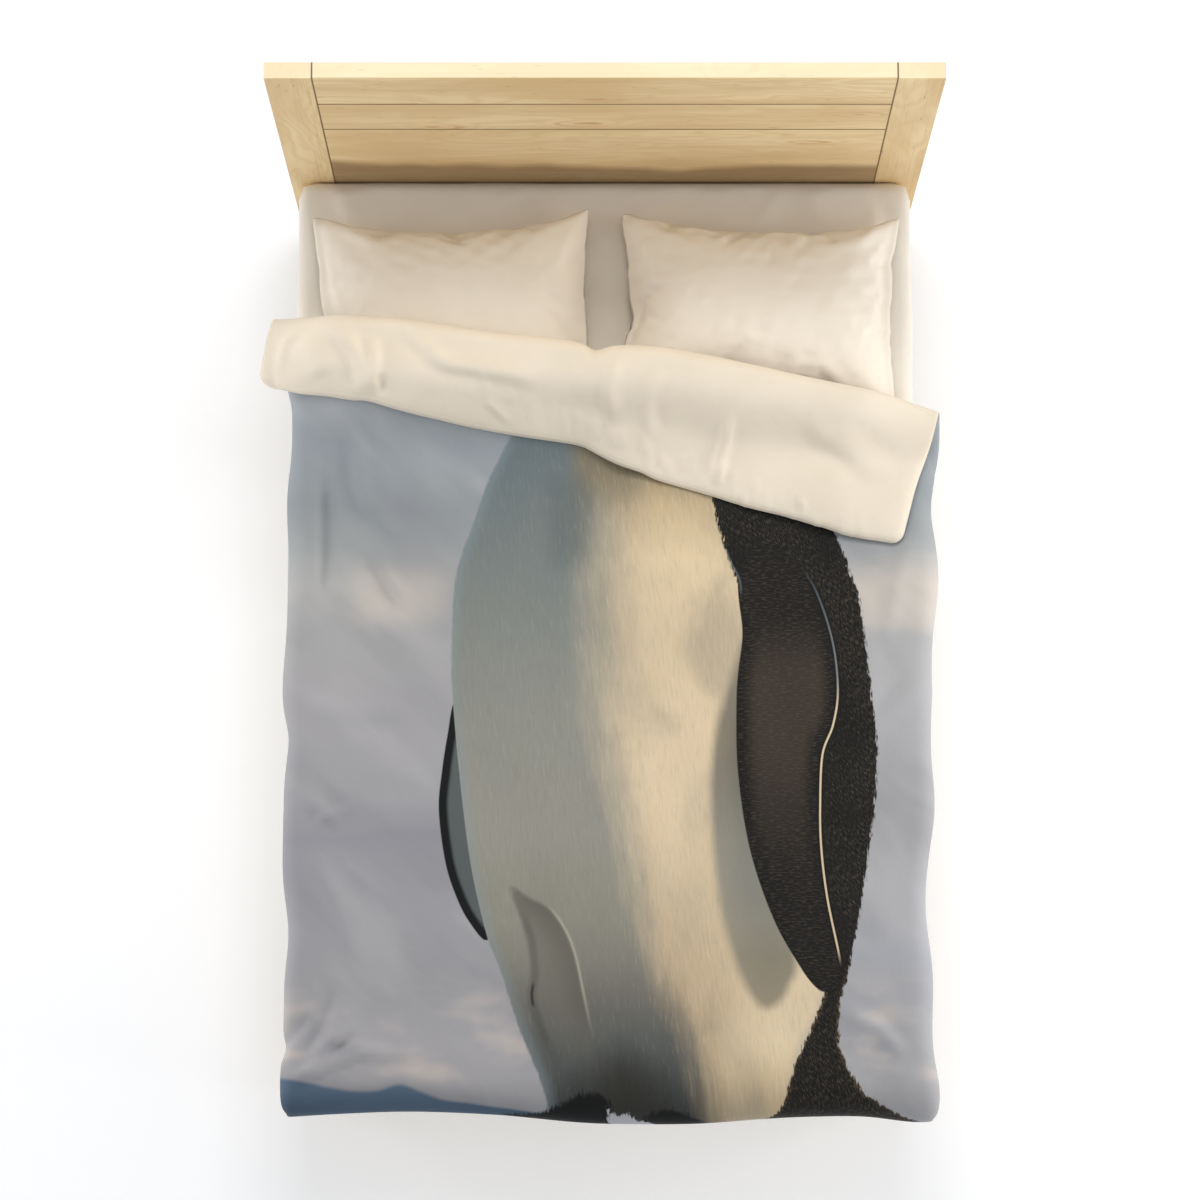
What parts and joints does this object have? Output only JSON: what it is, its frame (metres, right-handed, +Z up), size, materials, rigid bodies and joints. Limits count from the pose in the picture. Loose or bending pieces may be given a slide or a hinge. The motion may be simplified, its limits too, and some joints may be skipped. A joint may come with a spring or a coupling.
{
  "type": "dressed double bed with penguin-print duvet",
  "caption": "Slatted double bed with a panelled wooden headboard, dressed with a fitted sheet, cased pillows and a zipped penguin-print duvet turned down at the head.",
  "frame": {"origin": "on the floor, midway along and across the whole bed", "axes": "+Z up, +Y towards the headboard, -Y towards the foot, +X to the right when looking from the foot"},
  "size_m": [1.4947, 2.1101, 1.25],
  "materials": {
    "panel_wood": "pale straight-grained softwood, satin lacquer",
    "frame_wood": "planed softwood, clear matt",
    "slat_wood": "sawn and sanded softwood",
    "glide_felt": "dark felt-faced glide",
    "bolt_steel": "zinc-plated steel",
    "mattress_ticking": "off-white woven ticking",
    "sheet_cotton": "cream brushed microfibre",
    "sheet_elastic": "knitted elastic",
    "pillow_fill": "white pillow ticking",
    "pillowcase_cotton": "cream brushed microfibre",
    "duvet_fill": "white quilt casing",
    "duvet_print": "brushed microfibre printed with a penguin standing on snow",
    "duvet_cream": "cream brushed microfibre",
    "zip_tape": "cream woven tape with nylon coil",
    "zip_metal": "plated zinc"
  },
  "bodies": {
    "root": {"stile_left": "panel_wood", "stile_right": "panel_wood", "plank_bottom": "panel_wood", "plank_wide": "panel_wood", "plank_middle": "panel_wood", "plank_top": "panel_wood", "side_rail_left": "frame_wood", "side_rail_right": "frame_wood", "foot_rail": "frame_wood", "head_rail": "frame_wood", "foot_post_left": "frame_wood", "foot_post_right": "frame_wood", "ledger_left": "frame_wood", "ledger_right": "frame_wood", "centre_beam": "frame_wood", "centre_leg_foot": "frame_wood", "centre_leg_head": "frame_wood", "slat_1": "slat_wood", "slat_2": "slat_wood", "slat_3": "slat_wood", "slat_4": "slat_wood", "slat_5": "slat_wood", "slat_6": "slat_wood", "slat_7": "slat_wood", "slat_8": "slat_wood", "slat_9": "slat_wood", "slat_10": "slat_wood", "slat_11": "slat_wood", "slat_12": "slat_wood", "slat_13": "slat_wood", "slat_14": "slat_wood", "glide_head_left": "glide_felt", "glide_head_right": "glide_felt", "glide_foot_left": "glide_felt", "glide_foot_right": "glide_felt", "glide_centre_foot": "glide_felt", "glide_centre_head": "glide_felt", "head_bolt_left_1": "bolt_steel", "head_bolt_left_2": "bolt_steel", "head_bolt_right_1": "bolt_steel", "head_bolt_right_2": "bolt_steel", "foot_bolt_left_1": "bolt_steel", "foot_bolt_left_2": "bolt_steel", "foot_bolt_right_1": "bolt_steel", "foot_bolt_right_2": "bolt_steel", "mattress": "mattress_ticking", "fitted_sheet": "sheet_cotton", "sheet_elastic": "sheet_elastic", "pillow_left": "pillow_fill", "pillow_right": "pillow_fill", "pillowcase_left": "pillowcase_cotton", "pillowcase_right": "pillowcase_cotton", "duvet_insert": "duvet_fill", "duvet_cover_front": "duvet_print", "duvet_cover_back": "duvet_cream", "zip_chain": "zip_tape"},
    "slider": {"zip_slider": "zip_metal"},
    "pull": {"zip_pull": "zip_metal"}
  },
  "joints": [
    {"name": "zip_travel", "type": "slide", "parent": "root", "child": "slider", "axis": [1, 0, 0], "range_m": [-0.985, 0]},
    {"name": "pull_swing", "type": "hinge", "parent": "slider", "child": "pull", "pos_m": [0.494, -1.0386, 0.41365], "axis": [0, 1, 0], "range_deg": [-80, 80]}
  ]
}
